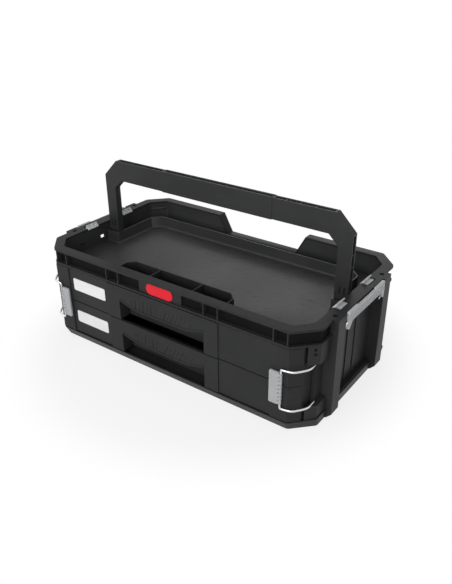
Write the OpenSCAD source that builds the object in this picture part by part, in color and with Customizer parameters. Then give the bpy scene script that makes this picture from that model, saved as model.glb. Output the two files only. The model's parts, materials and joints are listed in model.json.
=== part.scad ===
// Tool storage caddy: an open tray over two drawers, with a folding carry handle,
// corner latches at the front and stacking latches on both sides.
// X is the width, Y runs from the front (-) to the rear (+), Z is up. Millimetres.
// The origin is the centre of the footprint, on the floor.

/* [Case] */
// Width of the rim outline
rim_w = 548; // [530:1:580]
// Depth of the rim outline
rim_d = 314; // [300:1:340]
// Width cut off each corner by its chamfer
corner_x = 33; // [28:1:38]
// Depth cut off each corner by its chamfer
corner_y = 35; // [30:1:40]
// Height of the base strip
base_h = 17; // [15:0.5:22]
// Wall thickness of the case mouldings
wall = 3; // [2.5:0.1:3.5]
// How far the side pillars stand out from the rim
pillar_proud = 8.5; // [7:0.5:11]
// Distance of the pillars' near faces from the middle of the side
pillar_y = 68; // [62:1:72]
// Width of a pillar along the side
pillar_w = 23.5; // [21:0.5:25]

/* [Rim and tray] */
// Height of the ribbed band above the drawers
band_h = 28; // [25:0.5:33]
// Width of the flange round the tray
flange_w = 17; // [16:0.5:19]
// Thickness of the flange
flange_t = 4; // [3:0.1:5]
// Depth of the tray below the rim
tray_depth = 39; // [36:0.5:42]
// Thickness of the tray walls
tray_wall = 2.5; // [2:0.1:3]
// Thickness of the tray floor
tray_floor = 3; // [2.5:0.1:4]
// Height of the wall between the tray and the handle trough
trough_h = 22; // [18:0.5:25]
// Half width of the hand cut in the rear wall, at the rim
cut_half_w = 97; // [80:1:110]
// Depth of the hand cut below the rim
cut_depth = 36; // [30:0.5:37]
// Thickness of the ribs on the front band
rib_t = 2; // [1.6:0.1:2.6]
// Radius of the stacking holes in the top plate
stack_hole_r = 4; // [3:0.25:4.5]

/* [Front bin] */
// Width of the bin
bin_w = 226; // [200:1:240]
// Distance of the bin's rear wall from the front wall
bin_d = 44; // [38:1:50]
// Height of the bin above the tray floor
bin_h = 29; // [24:0.5:33]
// Wall thickness of the bin
bin_wall = 2; // [1.6:0.1:2.4]
// Width of the middle compartment
bin_mid_w = 89; // [70:1:100]

/* [Drawers] */
// Height of a drawer front
front_h = 63; // [58:0.5:70]
// Visible gap above and below a drawer front
reveal = 2; // [1.5:0.1:3]
// Half width of a drawer front
front_half_w = 210.7; // [200:0.1:212]
// Gap between a drawer front and the corner post
post_gap = 0.3; // [0.2:0.05:0.6]
// Distance of a corner post's outer end from the side of the rim
post_inset = 18; // [15:0.5:20]
// Half width of the finger recess
recess_half_w = 89; // [80:1:95]
// Depth of the finger recess
recess_d = 23.5; // [20:0.5:26]
// Half width at which the label fields start
field_x = 116; // [108:1:120]
// Depth of the label fields
field_d = 2; // [1.5:0.1:2.5]
// Wall thickness of a drawer
drawer_wall = 2.5; // [2:0.1:3]
// Bare margin beside a label in its field
label_margin = 8.85; // [8:0.05:14]
// Height of the label
label_h = 23; // [18:0.5:26]

/* [Handle] */
// Thickness of the handle
handle_t = 13; // [11:0.5:14]
// Width of a handle leg
leg_w = 23.3; // [20:0.5:25]
// Height of the handle bar
bar_h = 36; // [32:0.5:38]
// Outer corner chamfer of the handle
handle_corner = 30; // [26:1:32]
// Inner corner chamfer of the handle
handle_inner = 17; // [14:1:18]
// Half width of the middle sleeve
sleeve_half_w = 113; // [100:1:125]
// Depth of the pivot below the rim
pivot_drop = 15; // [14:0.5:17]
// Radius of the pivot pins
pivot_r = 4; // [3:0.25:4.5]

/* [Latches] */
// Radius of the latch wires
wire_r = 1.6; // [1.3:0.1:1.8]
// Height of a corner latch pad
pad_h = 57; // [50:1:60]
// Width of a corner latch pad
pad_w = 22; // [20:0.5:23]
// Thickness of the latch pads
pad_t = 4.5; // [4:0.1:5]
// Height of a side latch pad above its hinge
side_pad_h = 15; // [12:0.5:16]

/* [Hidden] */

$fn = 48;
eps = 0.01;

// Colours
black = [0.13, 0.13, 0.14];
charcoal = [0.20, 0.20, 0.21];
grey = [0.72, 0.73, 0.74];
nickel = [0.80, 0.80, 0.82];

// Clearances
run_gap = 0.3;      // between a moving piece and what it passes
pin_gap = 0.05;     // radial, between a pin and its bore

// Levels
lower_z = base_h + reveal;
upper_z = lower_z + front_h + reveal;
band_z = upper_z + front_h + reveal;
rim_h = band_z + band_h;
plate_z = rim_h - flange_t;
floor_z = rim_h - tray_depth;
under_z = floor_z - tray_floor;
base_floor = base_h - 5;
base_plate = base_floor - wall;

// Plan
half_w = rim_w / 2;
half_d = rim_d / 2;
pillar_x = half_w + pillar_proud;
box_y = -(half_d - 45);             // front of the box that carries the runners
wall_in = flange_w - tray_wall;     // inset of the case wall's inner face
wall_out = wall_in - wall;          // inset of the case wall's outer face
panel_x = half_w - wall_out;
pocket_x = half_w - wall_in;
tray_x = half_w - flange_w;
tray_y = half_d - flange_w;
post_x = front_half_w + post_gap;
post_t = 4;
post_end = half_w - post_inset;     // where the drawer face stops on the chamfer

// Handle
pivot_z = rim_h - pivot_drop;
leg_side_gap = 3.2;
leg_out = tray_x - leg_side_gap;
leg_in = leg_out - leg_w;
handle_reach = tray_y - 2;
handle_top = pivot_z + handle_reach;
bar_z = handle_top - bar_h;
pin_end = leg_in + 4;
boss_out = 10;

// Drawer tub
tub_top = under_z - upper_z - 4;    // above the lower edge of the drawer's front
tub_lip = 7;
tub_half_w = front_half_w - tub_lip - 0.7;
lip_t = 3;
tub_rear = tray_y - 12;
recess_y = half_d - recess_d;
front_t = 5;
runner_y = box_y + 2;

// Latches: the corner wires turn on vertical pins, the side wires on level ones
corner_pin = [half_w - 10, -(half_d - 41)];
corner_z = upper_z - reveal / 2 - 5;
pad_face = half_d + run_gap + 0.2;
pad_y = pad_face + wire_r + 0.9;
pad_x = post_x + 0.5;
wire_x = pad_x + pad_w - wire_r - 1.2;
arm_rise = pad_h / 2 + 6;
corner_block_gap = arm_rise + wire_r + 1;
corner_bore_d = 9;
side_pin = [pillar_x - 6.5, rim_h - 37];
side_hinge = [pillar_x, rim_h - side_pad_h - 1];
side_arm_y = pillar_y - 2.5;
wire_bend = 3;                      // how far a wire's bends are set back from their corners
side_pad_l = 2 * (side_arm_y - wire_bend - 0.5);
side_bore_d = 6;
side_notch = pillar_x - pad_t / 2 - 1.6;

// Stacking catches
catch_y = [-47.5, 46];
catch_l = 25;
catch_run = 10;                     // width of the catch's leaning leaf
catch_lean = 48;
catch_seat = 3;                     // depth of the catch's pocket in the flange

// Outline with each corner of the list rounded off by a curve set back by r
function unit(v) = v / norm(v);
function bend(a, b, c, r, n) =
    let (p = b + r * unit(a - b), q = b + r * unit(c - b))
    [for (i = [0 : n]) let (t = i / n) pow(1 - t, 2) * p + 2 * t * (1 - t) * b + pow(t, 2) * q];
function rounded(pts, r, n = 4) =
    let (m = len(pts))
    [for (i = [0 : m - 1]) each bend(pts[(i + m - 1) % m], pts[i], pts[(i + 1) % m], r, n)];
function flip_x(pts) = [for (i = [len(pts) - 1 : -1 : 0]) [-pts[i][0], pts[i][1]]];

// Chamfered rectangle of the case, moved in by inset all round
function case_points(inset) =
    let (
        slope = norm([corner_x, corner_y]),
        dx = inset * (slope - corner_x) / corner_y,
        dy = inset * (slope - corner_y) / corner_x,
        x = half_w - inset,
        y = half_d - inset,
        right = [
            [half_w - corner_x - dy, -y], [x, -(half_d - corner_y - dx)],
            [x, half_d - corner_y - dx], [half_w - corner_x - dy, y]
        ]
    )
    concat(right, flip_x(right));

module case_outline(inset) {
    polygon(rounded(case_points(inset), 4));
}

module case_slab(inset, z0, z1) {
    translate([0, 0, z0])
        linear_extrude(z1 - z0)
            case_outline(inset);
}

module case_ring(outer, inner, z0, z1) {
    translate([0, 0, z0])
        linear_extrude(z1 - z0)
            difference() {
                case_outline(outer);
                case_outline(inner);
            }
}

// Box between two opposite corners
module block(a, b) {
    translate([for (i = [0 : 2]) min(a[i], b[i])])
        cube([for (i = [0 : 2]) abs(b[i] - a[i])]);
}

// The same piece on the left side
module left() {
    mirror([1, 0, 0])
        children();
}

// Profile in X and Z, thickened along Y between y0 and y1
module along_y(y0, y1) {
    translate([0, y1, 0])
        rotate([90, 0, 0])
            linear_extrude(y1 - y0)
                children();
}

// Smooth tube along a path, one ring at each point; lean is parallel to no stretch of it
module tube(path, r, lean, sides = 10) {
    m = len(path);
    rings = [
        for (i = [0 : m - 1])
            let (
                t = unit(path[min(i + 1, m - 1)] - path[max(i - 1, 0)]),
                u = unit(cross(lean, t)),
                v = cross(t, u)
            )
            for (j = [0 : sides - 1])
                path[i] + r * (cos(360 * j / sides) * u + sin(360 * j / sides) * v)
    ];
    polyhedron(
        points = rings,
        faces = concat(
            [[for (j = [0 : sides - 1]) j]],
            [
                for (i = [0 : m - 2], j = [0 : sides - 1], half = [0, 1])
                    let (a = i * sides + j, b = i * sides + (j + 1) % sides)
                    half == 0 ? [a, a + sides, b] : [b, a + sides, b + sides]
            ],
            [[for (j = [sides - 1 : -1 : 0]) (m - 1) * sides + j]]
        )
    );
}

// Open path with its inner corners rounded off
function bent_path(pts, r, n = 3) =
    let (m = len(pts))
    concat([pts[0]], [for (i = [1 : m - 2]) each bend(pts[i - 1], pts[i], pts[i + 1], r, n)], [pts[m - 1]]);

// ---------------------------------------------------------------- case

screw_x = tray_x - 21;
screw_y = [-(half_d - 61), 0, half_d - 39];
screw_r = 2;
screw_head_r = 4;
screw_head_h = 3;
screw_l = 16;
boss_r = 5.5;
base_draft = 8;
base_ribs_x = [-200, -120, -40, 40, 120, 200];
base_ribs_y = [-(half_d - 82), 0, half_d - 82];

module base_shell() {
    color(black)
    difference() {
        union() {
            difference() {
                hull() {
                    translate([0, 0, 0])
                        linear_extrude(1)
                            scale([(half_w - 2) / half_w, (half_d - base_draft) / half_d])
                                case_outline(0);
                    case_slab(0, base_h - 1, base_h);
                }
                case_slab(wall, base_floor, base_h + 1);
                case_slab(base_draft + wall, -1, base_plate);
            }
            for (x = base_ribs_x)
                block([x - 1.5, -(half_d - base_draft - 1), 0], [x + 1.5, half_d - base_draft - 1, base_plate + eps]);
            for (y = base_ribs_y)
                block([-(half_w - 14), y - 1.5, 0], [half_w - 14, y + 1.5, base_plate + eps]);
        }
        for (side = [-1, 1], end = [-1, 1])
            block(
                [side * (panel_x - run_gap), end * (pillar_y - run_gap), -1],
                [side * (half_w + 5), end * (pillar_y + pillar_w + run_gap), base_h + 1]
            );
        for (side = [-1, 1], y = screw_y)
            translate([side * screw_x, y, -1]) {
                cylinder(h = base_h, r = screw_r + 0.2);
                cylinder(h = base_plate + 1, r = screw_head_r + 0.3);
            }
    }
}

// Hollow pillar with a slanted foot, closed at the outside
module pillar(y0) {
    foot = 9;
    difference() {
        along_y(y0, y0 + pillar_w)
            polygon([
                [panel_x, 0], [pillar_x - foot, 0], [pillar_x, foot],
                [pillar_x, plate_z], [panel_x, plate_z]
            ]);
        block(
            [panel_x + wall, y0 + wall, foot + wall],
            [pillar_x - wall, y0 + pillar_w - wall, rim_h]
        );
    }
}

// Block that carries one end of a corner wire; z0 to z1, with two small windows
module wire_block(z0, z1, windows) {
    difference() {
        translate([0, 0, z0])
            linear_extrude(z1 - z0)
                polygon([
                    [post_end + 3.2, -(half_d - 21)], [half_w - 2, -(half_d - corner_y - 2)],
                    [half_w - 2, -(pillar_y + pillar_w)], [panel_x, -(pillar_y + pillar_w)],
                    [panel_x, -(half_d - corner_y - 10)], [post_end + 3.2, -(half_d - 30)]
                ]);
        for (z = windows)
            block([half_w - 9, -(half_d - 28), z], [half_w + 1, -(half_d - 34), z + 5]);
    }
}

module side_frame() {
    color(black)
    difference() {
        union() {
            // outer panel at the back of the side bay
            intersection() {
                case_ring(wall_out, wall_in, base_floor, band_z);
                block([0, -(half_d - corner_y - 10), 0], [half_w, half_d - corner_y, rim_h]);
            }
            // box that carries the runners
            difference() {
                block([post_x + 2.5, box_y, base_floor], [pocket_x, half_d - corner_y - 4, under_z]);
                block(
                    [post_x + 2.5 + wall, box_y + wall, base_floor + wall],
                    [pocket_x - eps, half_d - corner_y - 4 - wall, under_z - wall]
                );
            }
            for (y = screw_y)
                translate([screw_x, y, base_floor])
                    cylinder(h = screw_l, r = boss_r);
            pillar(pillar_y);
            pillar(-pillar_y - pillar_w);
            // ribs on the wall of the bay
            for (y = [-14, 14])
                block([panel_x - eps, y - 1, base_h + 6], [panel_x + 1.5, y + 1, band_z - 4]);
            // ledges at the foot and at the head of the bay
            block([panel_x - eps, -pillar_y, base_h], [half_w - 2, pillar_y, base_h + 3]);
            block([panel_x - eps, -pillar_y, band_z - 3], [half_w - 6, pillar_y, band_z]);
            wire_block(base_h, corner_z - corner_block_gap, []);
            wire_block(corner_z + corner_block_gap, band_z, [band_z - 10, band_z - 18]);
        }
        wall_window();
        // seats of the corner wire's two ends
        for (end = [-1, 1])
            translate([corner_pin[0], corner_pin[1], corner_z + end * (corner_block_gap + corner_bore_d / 2)])
                cylinder(h = corner_bore_d + 2 * eps, r = wire_r + pin_gap, center = true);
        // seats of the side wire's two ends
        for (end = [-1, 1])
            translate([side_pin[0], end * (pillar_y + side_bore_d / 2), side_pin[1]])
                rotate([90, 0, 0])
                    cylinder(h = side_bore_d + 2 * eps, r = wire_r + pin_gap, center = true);
        // screw holes from below
        for (y = screw_y)
            translate([screw_x, y, base_floor - 1])
                cylinder(h = screw_l - 1, r = screw_r + pin_gap);
    }
}

// Hand cut in the rear: profile at a given offset outwards
function cut_points(off) =
    let (bottom = rim_h - cut_depth - off, lean = 20)
    [
        [-(cut_half_w - lean) - off / 2, bottom], [cut_half_w - lean + off / 2, bottom],
        [cut_half_w + off, rim_h + 1], [-cut_half_w - off, rim_h + 1]
    ];

rear_ribs = [-200, -150, -45, 45, 150, 200];

module rear_panel() {
    color(black)
    difference() {
        union() {
            intersection() {
                case_ring(wall_out, wall_in, base_floor, band_z);
                block([-half_w, half_d - corner_y + eps, 0], [half_w, half_d, rim_h]);
            }
            for (x = rear_ribs)
                block([x - 1.5, half_d - wall_out - eps, base_h], [x + 1.5, half_d - 3, band_z]);
            intersection() {
                case_ring(1, wall_out + eps, base_h, base_h + wall);
                block([-half_w, half_d - corner_y + eps, 0], [half_w, half_d, rim_h]);
            }
        }
        along_y(half_d - flange_w - 1, half_d + 1)
            polygon(cut_points(flange_t));
    }
}

// Fixed corner between the drawers and the side, on which the latch pad lies
module corner_post() {
    chamfer_end = -(half_d - corner_y * (post_end - half_w + corner_x) / corner_x);
    color(charcoal)
    difference() {
        union() {
            translate([0, 0, base_h])
                linear_extrude(band_z - base_h)
                    polygon([
                        [post_x, -half_d], [half_w - corner_x, -half_d],
                        [post_end, chamfer_end], [post_end, -(half_d - 33)],
                        [post_end - post_t, -(half_d - 33)], [post_end - post_t, -(half_d - 19)],
                        [half_w - corner_x - 1.5, -(half_d - post_t)], [post_x, -(half_d - post_t)]
                    ]);
            // lower part of the return reaches the side frame
            block([post_end - post_t, -(half_d - 30), base_h], [post_end, box_y, under_z - 1]);
        }
        for (z = [base_h, upper_z - reveal, band_z - reveal])
            translate([0, 0, z])
                linear_extrude(reveal)
                    difference() {
                        translate([post_x - 1, -half_d - 1])
                            square([half_w - post_x, 40]);
                        case_outline(1.2);
                    }
    }
}

// ---------------------------------------------------------------- rim and tray

module stack_holes(z0, z1, r) {
    for (side = [-1, 1], end = [-1, 1])
        translate([side * (half_w - 3), end * (pillar_y + 13), z0])
            cylinder(h = z1 - z0, r = r);
}

// Room for the stacking catches in the flange
module catch_pockets() {
    for (side = [-1, 1], y = catch_y)
        block(
            [side * (tray_x - 3), y - catch_l / 2 - 1, rim_h - catch_seat],
            [side * (half_w - 4), y + catch_l / 2 + 1, rim_h + 1]
        );
}

// Two small slots through each side wall of the tray
wall_slot_l = 10;
wall_slot_top = rim_h - 23;
module wall_slots() {
    for (side = [-1, 1], y_h = [[-(pillar_y - 42), 7], [-(pillar_y + 10), 4.5]])
        block(
            [side * (tray_x - 5), y_h[0] - wall_slot_l / 2, wall_slot_top - y_h[1]],
            [side * (panel_x + 1), y_h[0] + wall_slot_l / 2, wall_slot_top]
        );
}

// Opening in the outer wall that the front slot looks into
module wall_window() {
    for (side = [-1, 1])
        block(
            [side * (pocket_x - eps), -(pillar_y - 42) - 2, band_z - 12],
            [side * (half_w - 3), -(pillar_y - 42) + 18, wall_slot_top]
        );
}

module pivot_bores(r) {
    for (side = [-1, 1])
        translate([side * (tray_x + boss_out / 2), 0, pivot_z])
            rotate([0, 90, 0])
                cylinder(h = boss_out + 20, r = r, center = true);
}

badge_w = 55;
badge_h = 20;
badge_t = 1.6;
centre_half = 44;
centre_set = 3.5;
band_ribs = [centre_half + 45, centre_half + 71.5, half_w - 60.5, half_w - 37];

module top_rim() {
    color(charcoal)
    difference() {
        union() {
            case_ring(0, flange_w, plate_z, rim_h);
            case_ring(wall_out, wall_in, band_z, plate_z + eps);
            // level strip under the band, at the front and at the rear corners
            difference() {
                case_ring(0, wall_in, band_z, band_z + wall);
                block([-half_w - 1, -pillar_y - pillar_w, 0], [half_w + 1, pillar_y + pillar_w, rim_h]);
            }
            // plates over the pillars and the side bays
            for (side = [-1, 1])
                difference() {
                    block(
                        [side * tray_x, -pillar_y - pillar_w, plate_z],
                        [side * pillar_x, pillar_y + pillar_w, rim_h]
                    );
                    block(
                        [side * side_notch, -pillar_y + 1.5, plate_z - 1],
                        [side * (pillar_x + 1), pillar_y - 1.5, rim_h + 1]
                    );
                }
            for (side = [-1, 1])
                block(
                    [side * (panel_x - eps), -9, pivot_z - 10],
                    [side * (tray_x + boss_out + 4), 9, plate_z + eps]
                );
            // ribs across the front band, and the middle field for the badge
            for (side = [-1, 1], x = band_ribs)
                block(
                    [side * x - rib_t / 2, -half_d + 0.5, band_z],
                    [side * x + rib_t / 2, -(half_d - wall_out - eps), plate_z + eps]
                );
            block([-centre_half, -half_d + centre_set, band_z], [centre_half, -(half_d - wall_out - eps), plate_z + eps]);
            // lip round the hand cut
            along_y(tray_y, half_d)
                difference() {
                    polygon(cut_points(flange_t));
                    polygon(cut_points(0));
                    translate([-half_w, rim_h])
                        square([rim_w, flange_t]);
                }
        }
        along_y(tray_y - 1, half_d + 1)
            polygon(cut_points(0));
        stack_holes(plate_z - 1, rim_h + 1, stack_hole_r);
        catch_pockets();
        wall_slots();
        wall_window();
        pivot_bores(pivot_r + pin_gap);
    }
}

// Face of the trough wall, from the right side wall round the leg and the bar to the middle
trough_gap = 1;
trough_bend = 5;
function trough_points(d) =
    let (
        x = leg_in - trough_gap - d,
        y0 = -handle_t / 2 - 3 * trough_gap - d,
        y1 = bar_z - pivot_z - trough_gap - d,
        c = handle_inner,
        k = tan(22.5) * d
    )
    concat(
        [[tray_x + eps, y0]],
        bend([tray_x, y0], [x, y0], [x, y1], trough_bend - d, 4),
        [[x, y1 - c + k], [x - c + k, y1]]
    );

module trough_wall() {
    near = trough_points(0);
    far = trough_points(2);
    translate([0, 0, floor_z - eps])
        linear_extrude(trough_h + eps)
            polygon(concat(near, flip_x(near), [for (p = far) [-p[0], p[1]]], [for (i = [len(far) - 1 : -1 : 0]) far[i]]));
}

module tray_liner() {
    color(black)
    difference() {
        union() {
            case_slab(wall_in, under_z, floor_z);
            case_ring(wall_in, flange_w, floor_z - eps, plate_z);
            trough_wall();
            // fillet round the floor
            intersection() {
                case_ring(flange_w - eps, flange_w + 7, floor_z - eps, floor_z + 2);
                hull() {
                    case_slab(0, floor_z, floor_z + eps);
                    case_slab(flange_w + 5, under_z, under_z + eps);
                }
            }
        }
        along_y(tray_y - 1, half_d)
            polygon(cut_points(flange_t));
        // the bin stands on the flat floor
        block([-bin_w / 2 - 0.5, -tray_y, floor_z], [bin_w / 2 + 0.5, -tray_y + bin_d, rim_h - flange_t - 0.5]);
        wall_slots();
        pivot_bores(pivot_r + pin_gap);
    }
}

module front_bin() {
    chamfer = 13;
    w = bin_w / 2;
    y0 = -tray_y;
    y1 = -tray_y + bin_d;
    color(black)
    difference() {
        translate([0, 0, floor_z])
            linear_extrude(bin_h)
                polygon([[-w, y0], [w, y0], [w, y1 - chamfer], [w - chamfer, y1], [-w + chamfer, y1], [-w, y1 - chamfer]]);
        translate([0, 0, floor_z + bin_wall])
            linear_extrude(bin_h)
                difference() {
                    offset(delta = -bin_wall)
                        polygon([
                            [-w, y0], [w, y0], [w, y1 - chamfer],
                            [w - chamfer, y1], [-w + chamfer, y1], [-w, y1 - chamfer]
                        ]);
                    for (side = [-1, 1])
                        translate([side * bin_mid_w / 2 - bin_wall / 2, y0])
                            square([bin_wall, bin_d]);
                }
    }
}

// Spring catch: a foot in the flange's pocket and a leaf with two windows that leans out over it
module stack_catch(y) {
    foot_t = 1.6;
    leaf_t = 2.2;
    color(grey)
    translate([tray_x - 0.8, y, rim_h - catch_seat]) {
        block([0, -catch_l / 2, 0], [catch_run + 1, catch_l / 2, foot_t]);
        rotate([0, -catch_lean, 0])
            difference() {
                block([0, -catch_l / 2, 0], [catch_run, catch_l / 2, leaf_t]);
                for (side = [-1, 1])
                    block([3.4, side * 5.5 - 2.3, -1], [7.4, side * 5.5 + 2.3, leaf_t + 1]);
            }
    }
}

module badge() {
    r = badge_h / 2;
    z = (band_z + wall + plate_z) / 2;
    color([0.85, 0.10, 0.16])
    along_y(-half_d + centre_set - badge_t, -half_d + centre_set)
        translate([0, z]) {
            square([badge_w - badge_h, badge_h], center = true);
            for (side = [-1, 1])
                translate([side * (badge_w / 2 - r), 0])
                    circle(r = r);
        }
}

module base_screws() {
    color(nickel)
    for (side = [-1, 1], y = screw_y)
        translate([side * screw_x, y, base_plate - screw_head_h])
            difference() {
                union() {
                    cylinder(h = screw_head_h, r = screw_head_r);
                    cylinder(h = screw_head_h + screw_l - 4, r = screw_r);
                }
                translate([0, 0, -1])
                    cylinder(h = 2.5, r = 1.5, $fn = 6);
            }
}

module pivot_pin() {
    color(nickel)
    translate([pin_end + 0.5, 0, pivot_z])
        rotate([0, 90, 0])
            cylinder(h = tray_x + boss_out + 2 - pin_end, r = pivot_r);
}

// ---------------------------------------------------------------- handle

channel_w = 8;
channel_d = 7;

// Channel along the top of the bar, broken by cross ribs
module bar_channel(x0, x1, ribs) {
    difference() {
        block([x0, -channel_w / 2, handle_top - channel_d], [x1, channel_w / 2, handle_top + 1]);
        for (x = ribs)
            block([x - 1, -channel_w, handle_top - channel_d], [x + 1, channel_w, handle_top - 1]);
    }
}

module handle_arm() {
    c = handle_corner;
    i = handle_inner;
    r = handle_t / 2;
    tongue = 18;
    color(black)
    difference() {
        union() {
            along_y(-r, r)
                polygon([
                    [leg_in, pivot_z], [leg_out, pivot_z], [leg_out, handle_top - c],
                    [leg_out - c, handle_top], [sleeve_half_w, handle_top], [sleeve_half_w, bar_z],
                    [leg_in - i, bar_z], [leg_in, bar_z - i]
                ]);
            translate([leg_in, 0, pivot_z])
                rotate([0, 90, 0])
                    cylinder(h = leg_w, r = r);
            // tongue that fills the end of the sleeve
            block([sleeve_half_w - tongue, -4, bar_z + 6], [sleeve_half_w + eps, 4, handle_top - channel_d - 3]);
        }
        translate([pin_end, 0, pivot_z])
            rotate([0, 90, 0])
                cylinder(h = leg_w, r = pivot_r + pin_gap);
        bar_channel(sleeve_half_w + 3, leg_out - c - 4, [sleeve_half_w + 22, sleeve_half_w + 48, sleeve_half_w + 74]);
        // channel down the outer side of the leg, broken by ribs
        difference() {
            block([leg_out - 5, -channel_w / 2, pivot_z + boss_out + 4], [leg_out + 1, channel_w / 2, handle_top - c - 3]);
            for (z = [pivot_z + 34, pivot_z + 54, pivot_z + 74])
                block([leg_out - 6, -channel_w, z - 1], [leg_out - 0.8, channel_w, z + 1]);
        }
        // two slots in the foot of the leg, front and rear
        for (x = [leg_in + 9, leg_in + 17], face = [-1, 1])
            block([x - 1.5, face * (r + 1), pivot_z + 8], [x + 1.5, face * (r - 3), pivot_z + 20]);
    }
}

sleeve_ribs = [-98, -56, -39, -22, 20, 37, 53, 72, 98];

module handle_sleeve() {
    over = 0.8;
    color(black)
    difference() {
        block(
            [-sleeve_half_w, -handle_t / 2 - over, bar_z - over],
            [sleeve_half_w, handle_t / 2 + over, handle_top + over]
        );
        bar_channel(-sleeve_half_w + 4, sleeve_half_w - 4, sleeve_ribs);
        block([-sleeve_half_w, -channel_w / 2, handle_top - 0.5], [sleeve_half_w, channel_w / 2, handle_top + 2]);
        for (side = [-1, 1])
            block(
                [side * (sleeve_half_w - 18.5), -4.15, bar_z + 5.85],
                [side * (sleeve_half_w + 1), 4.15, handle_top - channel_d - 2.85]
            );
    }
}

// ---------------------------------------------------------------- drawers

// Plan of a drawer tub, moved in by inset; its front steps back round the finger recess
function tub_points(inset) =
    let (
        x = tub_half_w - inset,
        y0 = -(half_d - front_t) + inset,
        y1 = -(recess_y - wall) + inset,
        xr = recess_half_w + wall + inset,
        right = [[xr, y1], [xr, y0], [x, y0], [x, tub_rear - inset]]
    )
    concat(right, flip_x(right));

module drawer_tub(z) {
    floor_gap = 1;
    color(black)
    translate([0, 0, z + floor_gap])
        difference() {
            union() {
                linear_extrude(tub_top - floor_gap)
                    polygon(tub_points(0));
                for (side = [-1, 1])
                    block(
                        [side * (tub_half_w - 1), -(half_d - front_t) + 1, tub_top - floor_gap - lip_t],
                        [side * (tub_half_w + tub_lip), tub_rear, tub_top - floor_gap]
                    );
            }
            translate([0, 0, drawer_wall])
                linear_extrude(front_h)
                    polygon(rounded(tub_points(drawer_wall), 5));
        }
}

// Lower edge of the grip hood: straight ends, a deeper middle, drawn from left to right
hood_end = 37;
hood_mid = 28;
function hood_edge(x) =
    let (t = abs(x) / recess_half_w)
    hood_mid + (hood_end - hood_mid) * pow(max(0, (t - 0.55) / 0.45), 1.5);
hood_xs = [for (i = [-10 : 10]) i / 10 * recess_half_w];

module drawer_front(z) {
    back = -(half_d - front_t);
    color(charcoal)
    translate([0, 0, z])
        difference() {
            union() {
                // face plates beside the recess
                for (side = [-1, 1])
                    block([side * recess_half_w, -half_d, 0], [side * front_half_w, back, front_h]);
                // walls and back of the recess
                for (side = [-1, 1])
                    block([side * recess_half_w, back - eps, 0], [side * (recess_half_w + wall), -recess_y, tub_top]);
                block(
                    [-recess_half_w - wall, -recess_y, 0],
                    [recess_half_w + wall, -recess_y + wall, tub_top]
                );
                // roof of the recess
                block(
                    [-recess_half_w - eps, back - eps, tub_top - wall],
                    [recess_half_w + eps, -recess_y + eps, tub_top]
                );
                // grip hood
                along_y(-half_d, back)
                    polygon(concat(
                        [[recess_half_w + eps, front_h], [-recess_half_w - eps, front_h]],
                        [for (x = hood_xs) [x, hood_edge(x)]]
                    ));
                // bead along the hood's lower edge
                along_y(-half_d - 0.9, back)
                    polygon(concat(
                        [for (i = [len(hood_xs) - 1 : -1 : 0]) [hood_xs[i] * 0.98, hood_edge(hood_xs[i]) + 3]],
                        [for (x = hood_xs) [x * 0.98, hood_edge(x)]]
                    ));
            }
            // label fields
            for (side = [-1, 1])
                block([side * field_x, -half_d - 1, -1], [side * (front_half_w + 1), -half_d + field_d, front_h + 1]);
            // grooves in the grip, upright on the left and leaning on the right
            for (x = [-52, -35, -18])
                block([x - 0.5, -half_d - 2, hood_mid + 3], [x + 0.5, -half_d + 0.8, front_h - 14]);
            for (x = [6, 22, 38])
                translate([x, 0, hood_mid + 3])
                    rotate([0, 28, 0])
                        block([-0.5, -half_d - 2, 0], [0.5, -half_d + 0.8, 20]);
        }
}

module drawer_label(z) {
    r = 3;
    label_w = front_half_w - field_x - 2 * label_margin;
    x = -(front_half_w + field_x) / 2 + 0.5;
    color([0.93, 0.93, 0.92])
    along_y(-half_d + field_d - 0.8, -half_d + field_d)
        translate([x, z + front_h - 17 - label_h / 2]) {
            square([label_w, label_h - 2 * r], center = true);
            square([label_w - 2 * r, label_h], center = true);
            for (sx = [-1, 1], sz = [-1, 1])
                translate([sx * (label_w / 2 - r), sz * (label_h / 2 - r)])
                    circle(r = r);
        }
}

// Channel that guides a drawer's lip, fixed to the side frame
module runner(z) {
    lip_z = z + tub_top - lip_t;
    shelf = 3;
    color(grey * 0.5)
    difference() {
        block(
            [tub_half_w + 2, runner_y, lip_z - run_gap - shelf],
            [post_x + 2.5, tub_rear, lip_z + lip_t + run_gap + shelf - 0.4]
        );
        block(
            [0, runner_y - 1, lip_z - run_gap],
            [tub_half_w + tub_lip + run_gap, tub_rear + 1, lip_z + lip_t + run_gap]
        );
    }
}

// ---------------------------------------------------------------- latches

// Wire of a corner latch: upright at the front, arms round the chamfer, ends on the pin line
module corner_wire() {
    top = corner_z + arm_rise;
    low = corner_z - arm_rise;
    plan = [
        [wire_x, -pad_y], [half_w - corner_x - 6.3, -pad_y - 0.5], [half_w - corner_x + 8, -half_d + 0.5],
        [half_w - 14, -half_d + 13], [half_w - 9, -half_d + 22], corner_pin
    ];
    path = concat(
        [for (i = [5 : -1 : 0]) [plan[i][0], plan[i][1], top]],
        [for (p = plan) [p[0], p[1], low]]
    );
    color(nickel) {
        tube(bent_path(path, wire_bend), wire_r, [-0.6, 0.5, 0.62]);
        for (end = [-1, 1])
            translate([corner_pin[0], corner_pin[1], corner_z + end * (arm_rise + corner_bore_d / 2 - wire_r)])
                cylinder(h = corner_bore_d, r = wire_r, center = true);
    }
}

knuckles = 8;

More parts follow.
